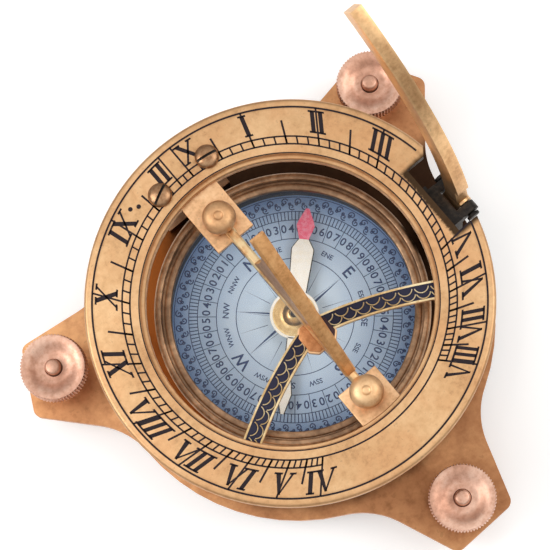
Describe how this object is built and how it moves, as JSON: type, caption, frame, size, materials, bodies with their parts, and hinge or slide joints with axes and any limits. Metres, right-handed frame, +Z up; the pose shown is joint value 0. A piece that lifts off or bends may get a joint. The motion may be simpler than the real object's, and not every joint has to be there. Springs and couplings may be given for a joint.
{
  "type": "garden sundial",
  "caption": "Brass sundial compass: folding hour ring and gnomon over a glazed compass, with a folding latitude arc, on an eared base with levelling screws.",
  "frame": {"origin": "centre of the round pedestal pad on the base plate's underside", "axes": "+Z up along the compass axis, +Y to the noon side of the hour ring (its hinge), +X to the latitude arc's side"},
  "size_m": [0.1318, 0.1215, 0.1002],
  "materials": {
    "antique_brass": "satin, aged",
    "base_copper": "satin, coppery lacquer",
    "pink_copper": "polished copper",
    "dark_brass": "dark patina",
    "bright_brass": "polished",
    "printed_card": "printed, matt",
    "clear_glass": "clear, polished",
    "needle_paint": "cream paint with a pink tip"
  },
  "bodies": {
    "base": {"base_plate": "base_copper", "compass_case": "dark_brass", "case_screw_1": "dark_brass", "case_screw_2": "dark_brass", "case_screw_3": "dark_brass", "card_seat": "dark_brass", "dial_card": "printed_card", "pivot_pin": "bright_brass", "glass_spacer": "dark_brass", "glass": "clear_glass", "bezel_ring": "dark_brass", "hinge_bracket": "dark_brass", "hinge_bolt_w": "dark_brass", "hinge_bolt_e": "dark_brass", "hinge_pin": "bright_brass", "arc_bracket": "dark_brass", "arc_bolt_s": "dark_brass", "arc_bolt_n": "dark_brass", "arc_pin": "bright_brass", "rest_post": "dark_brass"},
    "ring": {"hour_ring": "antique_brass", "spider_plate": "antique_brass", "apex_plate": "base_copper", "hinge_leaf": "dark_brass", "ring_screw_w": "bright_brass", "ring_screw_e": "bright_brass", "pivot_block_n": "antique_brass", "pivot_block_s": "antique_brass", "dome_screw_n": "bright_brass", "dome_screw_s": "bright_brass"},
    "gnomon": {"gnomon": "antique_brass"},
    "arc": {"latitude_arc": "antique_brass"},
    "compass_needle": {"needle": "needle_paint", "needle_cap": "bright_brass"},
    "rod_s": {"level_rod_s": "pink_copper"},
    "head_s": {"level_head_s": "pink_copper"},
    "rod_ne": {"level_rod_ne": "pink_copper"},
    "head_ne": {"level_head_ne": "pink_copper"},
    "rod_nw": {"level_rod_nw": "pink_copper"},
    "head_nw": {"level_head_nw": "pink_copper"}
  },
  "joints": [
    {"name": "ring_hinge", "type": "hinge", "parent": "base", "child": "ring", "pos_m": [0, 0.046, 0.036], "axis": [-1, 0, 0], "range_deg": [0, 70]},
    {"name": "gnomon_fold", "type": "hinge", "parent": "ring", "child": "gnomon", "pos_m": [0, 0, 0.0406], "axis": [0, 1, 0], "range_deg": [-90, 80]},
    {"name": "arc_fold", "type": "hinge", "parent": "base", "child": "arc", "pos_m": [0.0482, -0.0059, 0.0356], "axis": [0, 1, 0], "range_deg": [-3.5, 80]},
    {"name": "needle_spin", "type": "hinge", "parent": "base", "child": "compass_needle", "pos_m": [0, 0, 0.018], "axis": [0, 0, 1], "continuous": true},
    {"name": "level_slide_s", "type": "slide", "parent": "base", "child": "rod_s", "axis": [0, 0, -1], "range_m": [-0.004, 0.004]},
    {"name": "level_turn_s", "type": "hinge", "parent": "rod_s", "child": "head_s", "pos_m": [0.00238, -0.06195, 0.0136], "axis": [0, 0, 1], "range_deg": [-1800, 1800]},
    {"name": "level_slide_ne", "type": "slide", "parent": "base", "child": "rod_ne", "axis": [0, 0, -1], "range_m": [-0.004, 0.004]},
    {"name": "level_turn_ne", "type": "hinge", "parent": "rod_ne", "child": "head_ne", "pos_m": [0.05246, 0.03304, 0.0136], "axis": [0, 0, 1], "range_deg": [-1800, 1800]},
    {"name": "level_slide_nw", "type": "slide", "parent": "base", "child": "rod_nw", "axis": [0, 0, -1], "range_m": [-0.004, 0.004]},
    {"name": "level_turn_nw", "type": "hinge", "parent": "rod_nw", "child": "head_nw", "pos_m": [-0.05484, 0.02892, 0.0136], "axis": [0, 0, 1], "range_deg": [-1800, 1800]}
  ],
  "couplings": [
    {"joint": "level_slide_s", "follows": "level_turn_s", "m_per_rad": -0.00012732},
    {"joint": "level_slide_ne", "follows": "level_turn_ne", "m_per_rad": -0.00012732},
    {"joint": "level_slide_nw", "follows": "level_turn_nw", "m_per_rad": -0.00012732}
  ]
}
